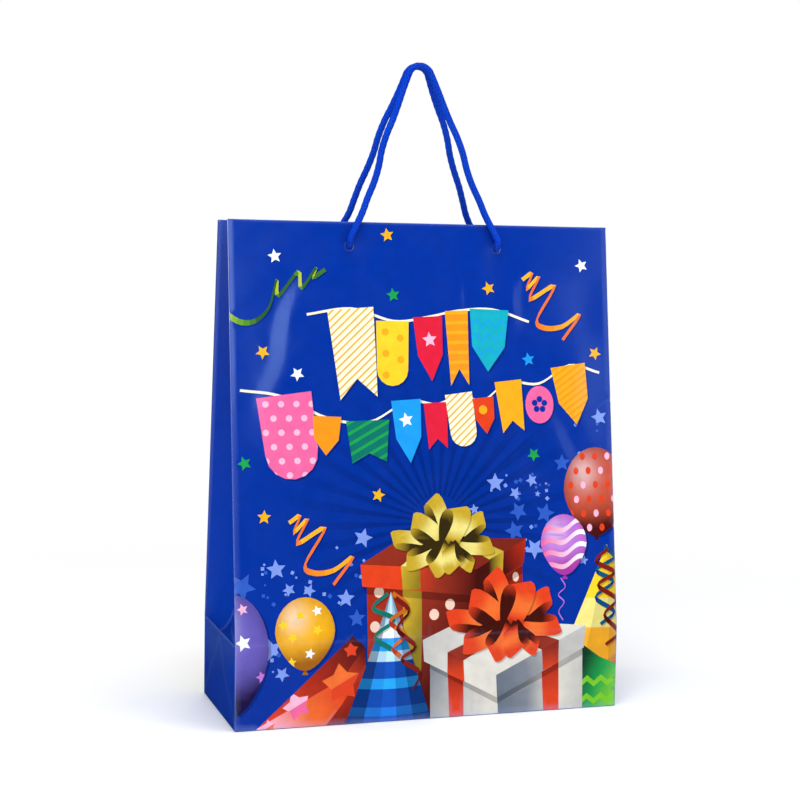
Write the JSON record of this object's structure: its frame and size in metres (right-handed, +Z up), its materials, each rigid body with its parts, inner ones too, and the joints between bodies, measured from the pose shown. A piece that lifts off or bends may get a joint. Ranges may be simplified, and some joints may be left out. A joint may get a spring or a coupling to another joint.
{
  "type": "gift bag",
  "caption": "Deep-blue glossy paper gift bag with a party print, side gussets, card-stiffened rim, base board and blue cord handles.",
  "frame": {"origin": "middle of the base, on the surface that the bag stands on", "axes": "+Z up, printed front towards -Y, width along X, gussets at -X and +X"},
  "size_m": [0.26, 0.1, 0.425],
  "materials": {
    "print": "glossy laminated print",
    "lining": "matt uncoated white",
    "card": "matt grey board",
    "cord": "braided polypropylene, soft sheen"
  },
  "bodies": {
    "bag_foot": {"base_outer_flap": "print", "base_inner_flap": "lining", "base_left_tuck": "lining", "base_right_tuck": "lining", "front_lower_wall": "print", "back_lower_wall": "print", "left_lower_gusset": "print", "right_lower_gusset": "print", "left_gusset_front_half": "print", "left_gusset_back_half": "print", "right_gusset_front_half": "print", "right_gusset_back_half": "print", "left_gusset_front_hem": "print", "left_gusset_back_hem": "print", "right_gusset_front_hem": "print", "right_gusset_back_hem": "print"},
    "front_wall": {"front_panel": "print", "front_top_hem": "print", "front_stiffener_card": "card", "front_knot_left": "cord", "front_knot_right": "cord"},
    "back_wall": {"back_panel": "print", "back_top_hem": "print", "back_stiffener_card": "card", "back_knot_left": "cord", "back_knot_right": "cord", "side_seam_lap": "lining"},
    "base_board": {"base_board": "card"},
    "front_handle": {"front_handle_cord": "cord"},
    "back_handle": {"back_handle_cord": "cord"}
  },
  "joints": [
    {"name": "front_wall_fold", "type": "hinge", "parent": "bag_foot", "child": "front_wall", "pos_m": [0, -0.05, 0.054], "axis": [1, 0, 0], "range_deg": [0, 4], "deforming": ["left_gusset_front_half", "right_gusset_front_half", "left_gusset_front_hem", "right_gusset_front_hem"]},
    {"name": "back_wall_fold", "type": "hinge", "parent": "bag_foot", "child": "back_wall", "pos_m": [0, 0.05, 0.054], "axis": [-1, 0, 0], "range_deg": [0, 4], "deforming": ["left_gusset_back_half", "right_gusset_back_half", "left_gusset_back_hem", "right_gusset_back_hem"]},
    {"name": "front_handle_swing", "type": "hinge", "parent": "front_wall", "child": "front_handle", "pos_m": [0, -0.02051, 0.30472], "axis": [1, 0, 0], "range_deg": [0, 175]},
    {"name": "back_handle_swing", "type": "hinge", "parent": "back_wall", "child": "back_handle", "pos_m": [0, 0.02051, 0.30472], "axis": [-1, 0, 0], "range_deg": [0, 175]},
    {"name": "base_board_lift", "type": "slide", "parent": "bag_foot", "child": "base_board", "axis": [0, 0, 1], "range_m": [0, 0.04]}
  ]
}
